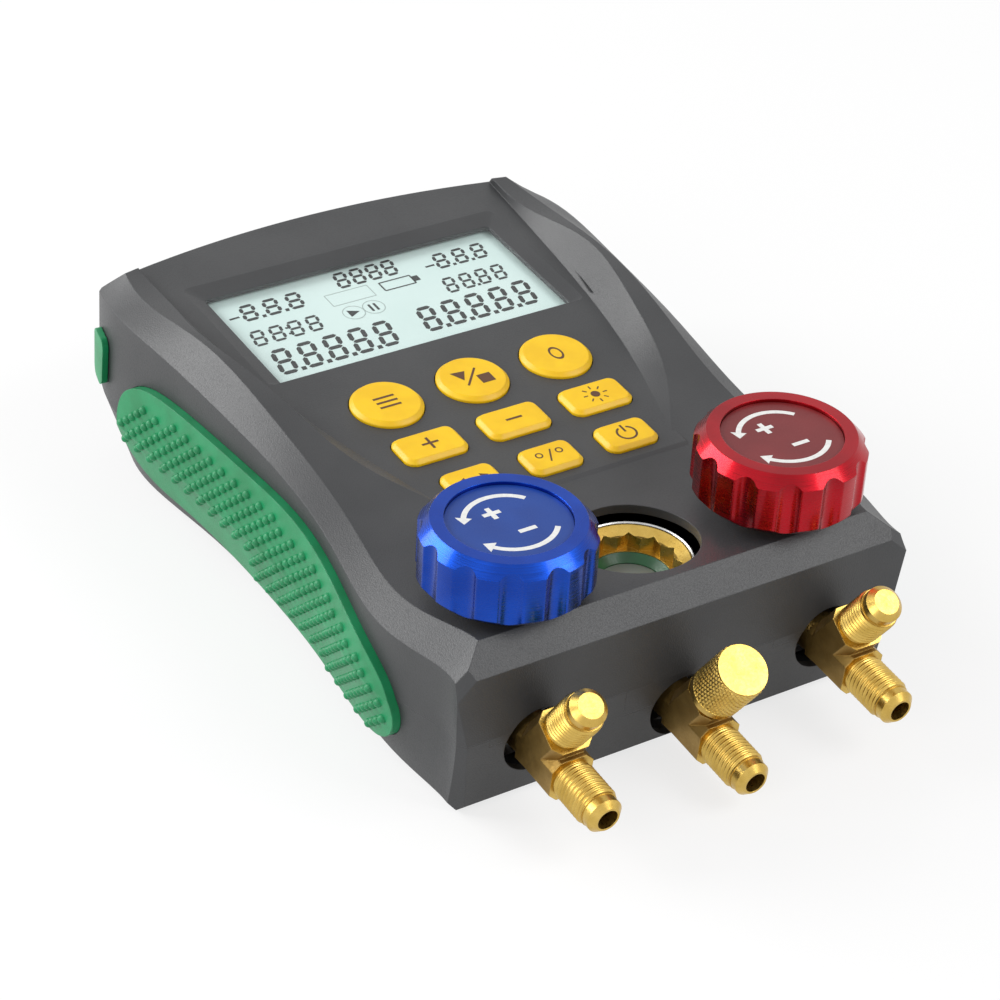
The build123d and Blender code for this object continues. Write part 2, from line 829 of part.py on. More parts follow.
# Valves
def make_valve(colour, x, y):
    low = block_top - 7.5
    stem_top = knob_top - knob_height + stem_grip
    stem = rod(stem_diameter / 2, low, stem_top, x, y)
    stem = stem + Pos(x, y, low - 2.0) * Cone(
        gallery / 4, gallery / 2 - 0.2, 2.0, align=(Align.CENTER, Align.CENTER, Align.MIN)
    )
    save(f"{colour}_valve_stem", stem)
    nut_low = valve_boss_top
    nut = Pos(x, y, nut_low) * extrude(RegularPolygon(packing_nut / 2, 6, major_radius=False), 5.0)
    nut += rod(packing_nut / 2 - 0.6, nut_low + 5.0, packing_nut_top, x, y)
    nut -= rod(stem_diameter / 2 + turning_fit, nut_low - 1, packing_nut_top + 1, x, y)
    save(f"{colour}_packing_nut", nut)

    # Knob: fluted body, chamfered crown, dish for the disc, hollow underside round the hub
    bottom = knob_top - knob_height
    plan = Circle(knob_radius)
    ring = knob_radius + flute_radius - flute_depth
    for index in range(knob_flutes):
        turn = math.radians(index * 360 / knob_flutes)
        plan -= Pos(ring * math.cos(turn), ring * math.sin(turn)) * Circle(flute_radius)
    plan = fillet(plan.vertices(), 1.2)
    knob = Pos(0, 0, bottom) * extrude(plan, knob_height)
    drop = knob_radius - knob_rim
    outside = Polyline(
        (knob_rim, knob_top), (knob_radius + 1, knob_top - (drop + 1) * 1.1), (knob_radius + 1, knob_top),
        close=True,
    )
    knob -= revolve(Plane.XZ * make_face(outside), Axis.Z)
    under = Polyline(
        (knob_radius - 1.6, bottom), (knob_radius + 1, bottom), (knob_radius + 1, bottom + 2.6), close=True
    )
    knob -= revolve(Plane.XZ * make_face(under), Axis.Z)
    knob -= rod(knob_dish, knob_top - knob_dish_depth - knob_disc_thickness, knob_top + 1)
    knob -= tube(knob_rim - knob_skirt, stem_diameter / 2 + 4.0, bottom - 1, bottom + 4.0)
    knob -= rod(stem_diameter / 2 + turning_fit, bottom - 1, stem_top + 0.1)
    save(f"{colour}_knob", Pos(x, y, 0) * knob)
    disc_low = knob_top - knob_dish_depth - knob_disc_thickness
    save(f"{colour}_knob_disc", rod(knob_dish - 0.1, disc_low, disc_low + knob_disc_thickness, x, y))


# Sight glass
def make_sight_glass():
    y = along(sight_setback)
    ring = tube(bezel_ring / 2, bezel_ring_bore / 2, sight_seat, sight_top, 0, y)
    lip = ring.faces().sort_by(Axis.Z)[-1]
    ring = chamfer(lip.edges(), 0.3)
    save("sight_bezel", ring)
    nut_radius = bezel_ring_bore / 2 - 0.1
    nut_top = sight_top - 0.4
    land = sight_seat + indicator_height
    nut = rod(nut_radius, sight_seat, nut_top)
    point_radius = sight_nut_bore / 2 + 2.2
    corners = []
    for index in range(2 * sight_points):
        turn = math.radians(index * 180 / sight_points)
        radius = point_radius if index % 2 == 0 else sight_nut_bore / 2 + 0.6
        corners.append((radius * math.cos(turn), radius * math.sin(turn)))
    nut -= Pos(0, 0, land) * extrude(make_face(Polyline(*corners, close=True)), nut_top - land + 1)
    nut -= rod(sight_nut_bore / 2, sight_seat - 1, nut_top)
    cone = Polyline(
        (0, nut_top - 1.5), (point_radius - 0.8, nut_top - 1.5), (nut_radius - 0.3, nut_top),
        (nut_radius - 0.3, nut_top + 1), (0, nut_top + 1), close=True,
    )
    nut -= revolve(Plane.XZ * make_face(cone), Axis.Z)
    save("sight_nut", Pos(0, y, 0) * nut)
    outer = sight_nut_bore / 2 - 0.1
    inner = sight_glass / 2 + 0.1
    indicator = Polyline(
        (outer, sight_seat), (outer, land - 0.2), (inner, land - 2.0), (inner, sight_seat), close=True
    )
    save("indicator_ring", Pos(0, y, 0) * revolve(Plane.XZ * make_face(indicator), Axis.Z))
    base = 1.2
    radius = sight_glass / 2
    ball = (radius ** 2 + glass_dome ** 2) / (2 * glass_dome)
    crown = Pos(0, 0, sight_seat + base + glass_dome - ball) * Sphere(ball)
    lens = rod(radius, sight_seat, sight_seat + base + glass_dome) & crown
    save("sight_lens", Pos(0, y, 0) * lens)


# Hose fittings
def flare_profile(start, end):
    """Turned end of an arm: thread, relief, neck and 45 degree cone, on the Z axis."""
    neck_start = end - flare_plain
    face = Polyline(
        (0, start),
        (flare_thread / 2 - 0.6, start),
        (flare_thread / 2, start + 0.6),
        (flare_thread / 2, neck_start - 0.5),
        (flare_thread / 2 - 0.5, neck_start),
        (flare_neck / 2, neck_start),
        (flare_neck / 2, end - flare_cone + 0.7),
        (flare_tip / 2, end),
        (0, end),
        close=True,
    )
    return revolve(Plane.XZ * make_face(face), Axis.Z)


def bar(length):
    """Forged square bar with chamfered corners, along Z from the origin."""
    square = chamfer(Rectangle(bar_width, bar_width).vertices(), bar_chamfer)
    return extrude(square, length)


def arm_frame(angle):
    """Frame at the fork whose Z axis points along an arm, at an angle above the horizontal."""
    turn = math.radians(angle)
    return Plane(origin=(0, 0, 0), x_dir=(1, 0, 0), z_dir=(0, -math.cos(turn), math.sin(turn)))


def fitting(bored_upper):
    """A fork with its crossing at the origin, facing -Y, and a stub that enters the block."""
    lower_frame = arm_frame(-arm_drop)
    upper_frame = arm_frame(arm_rise)
    inner = arm_frame(180)
    shape = lower_frame * bar(lower_arm - flare_length)
    shape += upper_frame * bar(upper_arm - flare_length)
    back = fork_reach + block_setback
    shape += inner * extrude(Circle(bar_width / 2), back)
    shape += inner * bar(fork_reach)
    shape += Pos(0, back, 0) * Rot(-90, 0, 0) * Cylinder(
        stub_diameter / 2, stub_length, align=(Align.CENTER, Align.CENTER, Align.MIN)
    )
    shape += lower_frame * flare_profile(lower_arm - flare_length, lower_arm)
    shape += upper_frame * flare_profile(upper_arm - flare_length, upper_arm)
    shape -= lower_frame * extrude(Circle(port_bore / 2), lower_arm + 1)
    shape -= Pos(0, -2, 0) * Rot(-90, 0, 0) * Cylinder(
        port_bore / 2, 60, align=(Align.CENTER, Align.CENTER, Align.MIN)
    )
    if bored_upper:
        shape -= upper_frame * Cylinder(
            port_bore / 2, upper_arm + 1, align=(Align.CENTER, Align.CENTER, Align.MIN)
        )
    return shape


def fork_place(x, height):
    return Pos(x, along(-fork_reach), height)


def make_fittings():
    names = ["left_fitting", "middle_fitting", "right_fitting"]
    for name, (x, height) in zip(names, port_places()):
        save(name, fork_place(x, height) * fitting(x == 0))
    place = fork_place(0, middle_port_height) * arm_frame(arm_rise).location
    # Threaded dust cap on the middle service port, with a seal at its top
    cap_low = upper_arm + cap_end - cap_length
    cap = extrude(Circle(cap_diameter / 2), cap_length)
    cap = chamfer(cap.faces().sort_by(Axis.Z)[-1].edges(), 0.4)
    cap = chamfer(cap.faces().sort_by(Axis.Z)[0].edges(), 0.4)
    cap = Pos(0, 0, cap_low) * cap
    thread_end = upper_arm - flare_plain + 0.1
    cap -= rod(flare_thread / 2 + turning_fit, cap_low - 1, thread_end)
    seal_low = upper_arm + seam_gap / 2
    cap -= rod(flare_neck / 2 + 0.1, cap_low, seal_low + seal_thickness + seam_gap / 2)
    save("port_cap", place * cap)
    save("cap_seal", place * rod(flare_neck / 2, seal_low, seal_low + seal_thickness))
    core_low = upper_arm - 7.0
    core = rod(core_diameter / 2, core_low, upper_arm - 1.0)
    core += rod(0.8, upper_arm - 1.0, upper_arm - 0.2)
    save("valve_core", place * core)


# Build
outer_form = casing_form(0)
cavity_form = casing_form(wall)
recess_form = casing_form(grip_sunk)
make_casings(outer_form, cavity_form, recess_form)
make_grips(recess_form)
make_covers()
make_jacks(recess_form)
make_keys()
make_board()
make_display()
make_batteries()
make_battery_door()
make_manifold()
make_valve("blue", *knob_places()[0])
make_valve("red", *knob_places()[1])
make_sight_glass()
make_fittings()
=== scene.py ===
import json
import math

import bmesh
import bpy
from mathutils import Matrix, Vector
from mathutils.bvhtree import BVHTree


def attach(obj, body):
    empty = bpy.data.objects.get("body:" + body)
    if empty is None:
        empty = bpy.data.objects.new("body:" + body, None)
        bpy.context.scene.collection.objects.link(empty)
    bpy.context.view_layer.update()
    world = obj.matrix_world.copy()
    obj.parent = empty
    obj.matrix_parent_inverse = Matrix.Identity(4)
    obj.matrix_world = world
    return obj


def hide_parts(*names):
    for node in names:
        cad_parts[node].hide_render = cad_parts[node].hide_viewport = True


# Digital refrigerant manifold gauge. Metres, in the frame of the CAD model: X across, Y from the
# hose ports to the display end, Z up, with the origin on the flat underside.
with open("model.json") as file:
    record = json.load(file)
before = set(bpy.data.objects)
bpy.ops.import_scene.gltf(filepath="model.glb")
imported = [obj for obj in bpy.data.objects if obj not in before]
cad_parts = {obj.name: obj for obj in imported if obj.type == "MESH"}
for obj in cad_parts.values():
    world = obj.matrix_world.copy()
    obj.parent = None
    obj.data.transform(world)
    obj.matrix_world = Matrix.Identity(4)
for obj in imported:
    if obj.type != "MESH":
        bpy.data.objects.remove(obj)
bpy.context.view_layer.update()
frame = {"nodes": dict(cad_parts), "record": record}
nodes = frame["nodes"]
MM = 0.001

# Places and sizes of the model that the added pieces sit on, in millimetres and degrees
PANEL_FOOT = -42.55
PANEL_FOOT_HEIGHT = 45.9
PANEL_SLOPE = 3.43
DISPLAY_LEVEL = -3.44
KEY_TOP_LEVEL = 1.505
KNOB_X = 40.0
KNOB_Y = -75.55
DISC_TOP = 65.7
FORK_Y = -101.55
SIDE_FORK_X = 43.2
SIDE_FORK_Z = 17.2
MIDDLE_FORK_Z = 11.4
LOW_ARM_ANGLE = -5.0
HIGH_ARM_ANGLE = 55.0
THREAD_RADIUS = 5.55
THREAD_PITCH = 1.27
THREAD_DEPTH = 0.62


# Shader helpers
class Shader:
    """A material's node tree, with short calls for the nodes that are used here."""

    def __init__(self, name, colour=(0.8, 0.8, 0.8), roughness=0.5, metallic=0.0, **sockets):
        self.material = bpy.data.materials.new(name)
        self.material.use_nodes = True
        self.material.diffuse_color = (*colour, 1.0)
        self.tree = self.material.node_tree
        self.shader = self.tree.nodes["Principled BSDF"]
        self.feed(self.shader, Base_Color=(*colour, 1.0), Roughness=roughness, Metallic=metallic, **sockets)

    def feed(self, node, **inputs):
        """Gives inputs a value or a link, by their names with an underscore for each blank."""
        for name, value in inputs.items():
            socket = node.inputs[name.replace("_", " ")]
            if isinstance(value, bpy.types.NodeSocket):
                self.tree.links.new(value, socket)
            else:
                socket.default_value = value

    def add(self, kind, **inputs):
        node = self.tree.nodes.new(kind)
        self.feed(node, **inputs)
        return node

    def position(self, stretch=(1.0, 1.0, 1.0)):
        """Object coordinates in metres, stretched by a factor for each axis."""
        source = self.add("ShaderNodeTexCoord").outputs["Object"]
        return self.add("ShaderNodeMapping", Vector=source, Scale=stretch).outputs["Vector"]

    def noise(self, per_metre, detail=2.0, roughness=0.5, stretch=(1.0, 1.0, 1.0)):
        place = self.position(stretch)
        node = self.add("ShaderNodeTexNoise", Vector=place, Scale=per_metre, Detail=detail)
        self.feed(node, Roughness=roughness)
        return node.outputs["Fac"]

    def grains(self, per_metre):
        return self.add("ShaderNodeTexVoronoi", Vector=self.position(), Scale=per_metre).outputs["Distance"]

    def ramp(self, value, low, high, at=(0.35, 0.65)):
        """Maps a value to a range of numbers."""
        start, end = at
        node = self.add("ShaderNodeMapRange", Value=value, From_Min=start, From_Max=end)
        self.feed(node, To_Min=low, To_Max=high)
        return node.outputs["Result"]

    def tint(self, value, dark, light):
        """Mixes two colours by a value."""
        node = self.add("ShaderNodeValToRGB", Fac=value)
        first, second = node.color_ramp.elements[0], node.color_ramp.elements[1]
        first.position, second.position = 0.35, 0.65
        first.color, second.color = (*dark, 1.0), (*light, 1.0)
        return node.outputs["Color"]

    def colour_from(self, output):
        self.feed(self.shader, Base_Color=output)

    def roughness_from(self, output):
        self.feed(self.shader, Roughness=output)

    def bump(self, height, distance, strength, edge=None):
        """Raises the grain, on edges softened by a radius where one is given."""
        node = self.add("ShaderNodeBump", Height=height, Distance=distance, Strength=strength)
        if edge is not None:
            self.feed(node, Normal=self.round_edges(edge))
        self.feed(self.shader, Normal=node.outputs["Normal"])

    def round_edges(self, radius):
        node = self.add("ShaderNodeBevel", Radius=radius)
        node.samples = 4
        return node.outputs["Normal"]


def darker(colour):
    return tuple(c * 0.9 for c in colour)


def casing_material():
    s = Shader("casing_plastic", roughness=0.45, Specular_IOR_Level=0.5)
    fine = s.grains(2600.0)
    s.colour_from(s.tint(s.noise(40.0, 3.0), (0.030, 0.031, 0.033), (0.040, 0.041, 0.043)))
    s.roughness_from(s.ramp(fine, 0.38, 0.5, (0.1, 0.8)))
    s.bump(fine, distance=0.00005, strength=0.6, edge=0.0004)
    return s.material


def rubber_material(name, dark, light, roughness):
    s = Shader(name, roughness=roughness, Specular_IOR_Level=0.45)
    s.colour_from(s.tint(s.noise(120.0, 3.0), dark, light))
    fine = s.noise(4000.0)
    s.roughness_from(s.ramp(fine, roughness - 0.06, roughness + 0.08))
    s.bump(fine, distance=0.00003, strength=0.5, edge=0.0004)
    return s.material


def key_material():
    s = Shader(
        "key_yellow", roughness=0.42, Subsurface_Weight=0.08, Subsurface_Radius=(0.004, 0.002, 0.0005),
        Subsurface_Scale=0.3,
    )
    s.colour_from(s.tint(s.noise(150.0), (0.84, 0.50, 0.0), (0.90, 0.56, 0.002)))
    fine = s.noise(5000.0)
    s.roughness_from(s.ramp(fine, 0.38, 0.5))
    s.bump(fine, distance=0.00002, strength=0.4, edge=0.0005)
    return s.material


def anodised_material(name, colour, deep):
    s = Shader(name, metallic=1.0, roughness=0.25, Coat_Weight=0.25, Coat_Roughness=0.1)
    s.colour_from(s.tint(s.noise(60.0, 3.0), deep, colour))
    turned = s.noise(900.0, 2.0, 0.6, (0.03, 0.03, 4.0))
    s.roughness_from(s.ramp(turned, 0.2, 0.34))
    s.bump(turned, distance=0.00002, strength=0.4, edge=0.00035)
    return s.material


def disc_material(name, dark, light):
    s = Shader(name, roughness=0.4, metallic=0.3)
    fine = s.noise(3000.0)
    s.colour_from(s.tint(s.noise(80.0), dark, light))
    s.roughness_from(s.ramp(fine, 0.36, 0.5))
    s.bump(fine, distance=0.00002, strength=0.4)
    return s.material


def metal_material(name, dark, light, low, high, edge=0.0003):
    s = Shader(name, metallic=1.0, roughness=(low + high) / 2)
    s.colour_from(s.tint(s.noise(220.0, 4.0, 0.6), dark, light))
    lines = s.noise(1500.0, 3.0, 0.6)
    s.roughness_from(s.ramp(lines, low, high))
    s.bump(lines, distance=0.000006, strength=0.3, edge=edge)
    return s.material


def ink_material(name, colour, roughness=0.5):
    s = Shader(name, roughness=roughness)
    s.colour_from(s.tint(s.noise(900.0), darker(colour), colour))
    return s.material


def clear_material(name, colour, roughness, share):
    s = Shader(name, roughness=roughness, Transmission_Weight=share, IOR=1.45)
    s.colour_from(s.tint(s.noise(80.0), darker(colour), colour))
    return s.material


def window_material():
    s = Shader("window_clear", colour=(0.85, 0.87, 0.87), roughness=0.08, Alpha=0.03, Specular_IOR_Level=0.3)
    s.roughness_from(s.ramp(s.noise(60.0), 0.06, 0.12))
    return s.material


def display_material():
    s = Shader("display_glass", roughness=0.35)
    s.colour_from(s.tint(s.noise(30.0), (0.62, 0.78, 0.75), (0.66, 0.81, 0.78)))
    s.roughness_from(s.ramp(s.noise(2500.0), 0.3, 0.4))
    return s.material


def flat_plastic(name, dark, light, roughness=0.45):
    s = Shader(name, roughness=roughness)
    s.colour_from(s.tint(s.noise(200.0, 3.0), dark, light))
    s.roughness_from(s.ramp(s.noise(1800.0), roughness - 0.05, roughness + 0.07))
    return s.material


casing = casing_material()
grip_green = rubber_material("grip_green", (0.002, 0.185, 0.062), (0.004, 0.235, 0.085), 0.42)
cover_green = rubber_material("cover_green", (0.002, 0.18, 0.06), (0.004, 0.22, 0.08), 0.42)
key_yellow = key_material()
blue_metal = anodised_material("anodised_blue", (0.006, 0.062, 0.44), (0.003, 0.040, 0.32))
red_metal = anodised_material("anodised_red", (0.42, 0.006, 0.014), (0.30, 0.004, 0.010))
blue_disc = disc_material("disc_blue", (0.008, 0.045, 0.25), (0.010, 0.055, 0.29))
red_disc = disc_material("disc_red", (0.16, 0.018, 0.020), (0.19, 0.022, 0.024))
brass = metal_material("brass_turned", (0.52, 0.34, 0.075), (0.64, 0.44, 0.115), 0.26, 0.38, 0.00015)
forged_brass = metal_material("brass_forged", (0.30, 0.185, 0.05), (0.38, 0.245, 0.075), 0.4, 0.52, 0.0005)
steel = metal_material("steel_turned", (0.55, 0.55, 0.54), (0.68, 0.68, 0.66), 0.2, 0.34)
aluminium = metal_material("aluminium_block", (0.60, 0.60, 0.61), (0.72, 0.72, 0.73), 0.3, 0.45)
window_clear = window_material()
lens_clear = clear_material("lens_clear", (0.50, 0.58, 0.53), 0.05, 0.4)
display_glass = display_material()
diffuser = flat_plastic("diffuser_white", (0.8, 0.82, 0.8), (0.9, 0.92, 0.9))
solder_mask = flat_plastic("solder_mask", (0.01, 0.13, 0.05), (0.015, 0.18, 0.07), 0.35)
indicator_green = flat_plastic("indicator_green", (0.012, 0.10, 0.03), (0.02, 0.14, 0.045), 0.35)
sleeve = flat_plastic("cell_sleeve", (0.03, 0.03, 0.035), (0.05, 0.05, 0.055), 0.35)
seal_black = flat_plastic("seal_black", (0.01, 0.01, 0.01), (0.02, 0.02, 0.02), 0.6)
white_ink = ink_material("white_ink", (0.80, 0.80, 0.78))
brown_ink = ink_material("brown_ink", (0.09, 0.032, 0.008))
segment_ink = ink_material("segment_ink", (0.004, 0.006, 0.006), 0.6)
pale_ink = ink_material("pale_ink", (0.36, 0.45, 0.43), 0.4)

finishes = {
    "casing": casing, "grip": grip_green, "key": key_yellow, "knob_blue": blue_metal, "knob_red": red_metal,
    "disc_blue": blue_disc, "disc_red": red_disc, "brass": brass, "steel": steel, "aluminium": aluminium,
    "window": window_clear, "lcd": display_glass, "diffuser": diffuser, "board": solder_mask,
    "glass": lens_clear, "indicator": indicator_green, "cell": sleeve, "seal": seal_black,
}
for subpart in frame["record"]["subparts"]:
    mesh = nodes[subpart["node"]].data
    mesh.materials.clear()
    mesh.materials.append(finishes[subpart["material_slot"]])


# Flat marks: polygons in millimetres on a plane, raised a little
def plate(name, shapes, place, height, material, body):
    mesh = bmesh.new()
    for shape in shapes:
        low = [mesh.verts.new(place @ Vector((x * MM, y * MM, 0.0))) for x, y in shape]
        high = [mesh.verts.new(place @ Vector((x * MM, y * MM, height * MM))) for x, y in shape]
        mesh.faces.new(high)
        for index in range(len(shape)):
            after = (index + 1) % len(shape)
            mesh.faces.new((low[index], low[after], high[after], high[index]))
    bmesh.ops.recalc_face_normals(mesh, faces=mesh.faces[:])
    data = bpy.data.meshes.new(name)
    mesh.to_mesh(data)
    mesh.free()
    return add_piece(name, data, material, body)


def add_piece(name, data, material, body):
    data.materials.clear()
    data.materials.append(material)
    piece = bpy.data.objects.new(name, data)
    bpy.context.scene.collection.objects.link(piece)
    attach(piece, body)
    return piece


def line(start, end, width):
    (x0, y0), (x1, y1) = start, end
    length = math.hypot(x1 - x0, y1 - y0)
    nx, ny = -(y1 - y0) / length * width / 2, (x1 - x0) / length * width / 2
    return [(x0 + nx, y0 + ny), (x0 - nx, y0 - ny), (x1 - nx, y1 - ny), (x1 + nx, y1 + ny)]


def path(points, width):
    return [line(first, second, width) for first, second in zip(points, points[1:])]


def box_outline(x0, y0, x1, y1, width):
    return path([(x0, y0), (x1, y0), (x1, y1), (x0, y1), (x0, y0)], width)


def arc(x, y, radius, start, end, width, steps):
    quads = []
    inner, outer = radius - width / 2, radius + width / 2
    for index in range(steps):
        first = math.radians(start + (end - start) * index / steps)
        second = math.radians(start + (end - start) * (index + 1) / steps)
        quads.append([
            (x + inner * math.cos(first), y + inner * math.sin(first)),
            (x + outer * math.cos(first), y + outer * math.sin(first)),
            (x + outer * math.cos(second), y + outer * math.sin(second)),
            (x + inner * math.cos(second), y + inner * math.sin(second)),
        ])
    return quads


def dot(x, y, radius, corners=20):
    turn = 2 * math.pi / corners
    return [(x + radius * math.cos(turn * i), y + radius * math.sin(turn * i)) for i in range(corners)]


def digit(x, y, width, height, stroke):
    """The seven segments of a figure eight, leaning to the right."""
    slant = 0.17
    half, gap = stroke / 2, stroke * 0.4
    shapes = []
    for level in (half, height / 2, height - half):
        shapes.append([
            (gap, level), (gap + half, level + half), (width - gap - half, level + half),
            (width - gap, level), (width - gap - half, level - half), (gap + half, level - half),
        ])
    for side in (half, width - half):
        for low, high in ((half, height / 2), (height / 2, height - half)):
            shapes.append([
                (side, low + gap), (side + half, low + gap + half), (side + half, high - gap - half),
                (side, high - gap), (side - half, high - gap - half), (side - half, low + gap + half),
            ])
    return [[(x + px + slant * py, y + py) for px, py in shape] for shape in shapes]


def figures(x, y, count, pitch, width, height, stroke, points):
    """A row of figures, with a point after each of those that are listed."""
    shapes = []
    for index in range(count):
        shapes += digit(x + index * pitch, y, width, height, stroke)
    for index in points:
        left = x + index * pitch + width + (pitch - width) / 2 - stroke * 0.35
        lean, top = 0.15 * stroke, y + 1.1 * stroke
        shapes.append([(left, y), (left + stroke, y), (left + stroke + lean, top), (left + lean, top)])
    return shapes


def on_panel(level, x=0.0, along=0.0):
    """A place on the sloped panel, raised from it by a level."""
    foot = Matrix.Translation((0.0, PANEL_FOOT * MM, PANEL_FOOT_HEIGHT * MM))
    slope = Matrix.Rotation(math.radians(PANEL_SLOPE), 4, "X")
    return foot @ slope @ Matrix.Translation((x * MM, along * MM, level * MM))


# The display's rows: left end, foot, count, pitch, width, height, stroke and figures with a point
FIGURE_ROWS = (
    (-38.2, 100.3, 3, 7.0, 4.7, 7.4, 1.1, (0, 1)),
    (-41.2, 88.7, 4, 5.6, 4.1, 7.0, 0.9, ()),
    (-41.3, 74.2, 5, 7.72, 5.5, 11.4, 1.4, (0, 1, 2, 3)),
    (4.2, 75.4, 5, 7.6, 5.4, 11.4, 1.4, (0, 1, 2, 3)),
    (22.9, 100.9, 3, 6.1, 4.2, 7.2, 1.0, (0, 1)),
    (19.2, 89.3, 4, 5.2, 3.8, 7.2, 0.9, (1,)),
    (-7.2, 103.7, 4, 5.0, 4.1, 7.4, 1.0, ()),
)


def display_signs():
    """Minus signs, colon, battery, play and pause."""
    signs = [line((-41.6, 103.1), (-38.6, 103.2), 0.7), line((19.9, 103.4), (22.8, 103.5), 0.7)]
    signs += [dot(-29.9, 90.6, 0.42, 10), dot(-29.6, 93.3, 0.42, 10)]
    signs += box_outline(3.9, 97.8, 13.6, 101.8, 0.45)
    signs.append([(13.6, 98.6), (15.6, 98.6), (15.6, 101.0), (13.6, 101.0)])
    signs.append([(-10.9, 93.8), (-10.9, 90.6), (-7.6, 92.2)])
    signs += [line((x, 90.6), (x, 93.9), 0.7) for x in (-4.0, -2.4)]
    return signs


def add_display_marks():
    dark = display_signs()
    for row in FIGURE_ROWS:
        dark += figures(*row)
    plate("display_figures", dark, on_panel(DISPLAY_LEVEL), 0.03, segment_ink, "casing")
    pale = arc(-9.4, 92.2, 3.1, 0, 360, 0.25, 36) + arc(-3.1, 92.3, 3.1, 0, 360, 0.25, 36)
    pale += box_outline(-12.9, 97.0, 0.4, 102.5, 0.25)
    plate("display_rings", pale, on_panel(DISPLAY_LEVEL), 0.025, pale_ink, "casing")


# The rows of keys: distance up the panel, pitch across it, and the keys from left to right
KEY_ROWS = (
    (8.7, 23.1, ("unit_key", "scale_key", "power_key")),
    (26.35, 25.2, ("plus_key", "minus_key", "backlight_key")),
    (46.65, 26.0, ("mode_key", "select_key", "zero_key")),
)
MARK_STROKE = 0.75
MARK_REACH = 2.4


def sun_mark():
    shapes = [dot(0, 0, 1.3)]
    for index in range(8):
        turn = math.pi / 4 * index
        across, along = math.cos(turn), math.sin(turn)
        shapes.append(line((2.3 * across, 2.3 * along), (3.6 * across, 3.6 * along), 0.4))
    return shapes


def level_bar(reach, y=0.0):
    return line((-reach, y), (reach, y), MARK_STROKE)


def plus_mark():
    shapes = [level_bar(MARK_REACH)]
    for low, high in ((-MARK_REACH, -MARK_STROKE / 2), (MARK_STROKE / 2, MARK_REACH)):
        shapes.append(line((0, low), (0, high), MARK_STROKE))
    return shapes


def arrow_mark():
    shapes = [line((-2.4, 0), (2.4, 0), 0.5)]
    for side in (-1, 1):
        shapes.append([(2.2 * side, -1.2 * side), (4.4 * side, 0), (2.2 * side, 1.2 * side)])
    return shapes


def choice_mark():
    triangle = [(-4.9, 3.7), (-2.8, -0.5), (-0.7, 3.2)]
    square = [(1.1, -3.6), (5.0, -3.6), (5.0, 0.2), (1.1, 0.2)]
    return [triangle, line((-3.0, -2.9), (2.5, 3.4), 0.6), square]


def ring_mark():
    """An upright oval."""
    return [[(x * 0.8, y * 1.25) for x, y in quad] for quad in arc(0, 0, 2.0, 0, 360, 0.65, 32)]


def share_mark():
    rings = arc(-3.0, 0.9, 0.9, 0, 360, 0.4, 20) + arc(3.0, 0.9, 0.9, 0, 360, 0.4, 20)
    return rings + [line((-1.2, -2.3), (1.0, 2.3), 0.45)]


def add_key_marks():
    """Plain signs in place of words, each on the centre of its key."""
    marks = {
        "power_key": arc(0, -0.3, 2.6, 115, 425, 0.6, 32) + [line((0, 0.2), (0, 3.2), 0.6)],
        "backlight_key": sun_mark(),
        "plus_key": plus_mark(),
        "minus_key": [level_bar(MARK_REACH)],
        "select_key": choice_mark(),
        "mode_key": [level_bar(3.1, y) for y in (-2.0, 0.0, 2.0)],
        "zero_key": ring_mark(),
        "unit_key": arrow_mark(),
        "scale_key": share_mark(),
    }
    places = {}
    for along, pitch, keys in KEY_ROWS:
        for column, key in enumerate(keys):
            places[key] = on_panel(KEY_TOP_LEVEL, (column - 1) * pitch, along)
    for key, shapes in marks.items():
        plate(key + "_mark", shapes, places[key], 0.03, brown_ink, key)


def curved_arrow(radius, start, end):
    """An arc about the knob's axis, with a triangle past its end."""
    way = 1 if end > start else -1
    tip, base = math.radians(end + way * 14), math.radians(end)
    inner, outer = radius - 2.0, radius + 2.0
    return arc(0, 0, radius, start, end, 1.35, 28) + [[
        (inner * math.cos(base), inner * math.sin(base)), (outer * math.cos(base), outer * math.sin(base)),
        (radius * math.cos(tip), radius * math.sin(tip)),
    ]]


def add_knob_marks():
    stroke = 1.3
    for colour, x in (("blue", -KNOB_X), ("red", KNOB_X)):
        place = Matrix.Translation((x * MM, KNOB_Y * MM, DISC_TOP * MM))
        shapes = curved_arrow(10.8, 37, 146) + curved_arrow(11.6, -38, -140)
        shapes += [line((-4.4, 4.6), (0.4, 4.6), stroke), line((-2.0, 2.2), (-2.0, 3.95), stroke)]
        shapes += [line((-2.0, 5.25), (-2.0, 7.0), stroke), line((-0.2, -4.8), (4.6, -4.8), stroke)]
        plate(f"{colour}_knob_arrows", shapes, place, 0.04, white_ink, f"{colour}_knob")


# Grips: slanting rows of small domes
DOT_ROWS = 32
DOTS_IN_A_ROW = 18
DOT_ROW_PITCH = 6.0
DOT_STEP = (-2.6, 2.35)
DOT_START = (-70.0, 3.0)
DOT_MARGINS = ((2.4, 0), (-2.4, 0), (0, 5.0), (0, -2.0))
DOT_RADIUS = 1.25
DOT_HEIGHT = 1.3
DOT_SINK = 0.05


def surface_of(node):
    data = nodes[node].data
    corners = [vertex.co.copy() for vertex in data.vertices]
    return BVHTree.FromPolygons(corners, [list(face.vertices) for face in data.polygons])


def side_hit(tree, side, y, z):
    """Where a level ray from the side meets a surface, with the surface's normal, or None twice."""
    return tree.ray_cast(Vector((side * 0.2, y, z)), Vector((-side, 0.0, 0.0)))[:2]


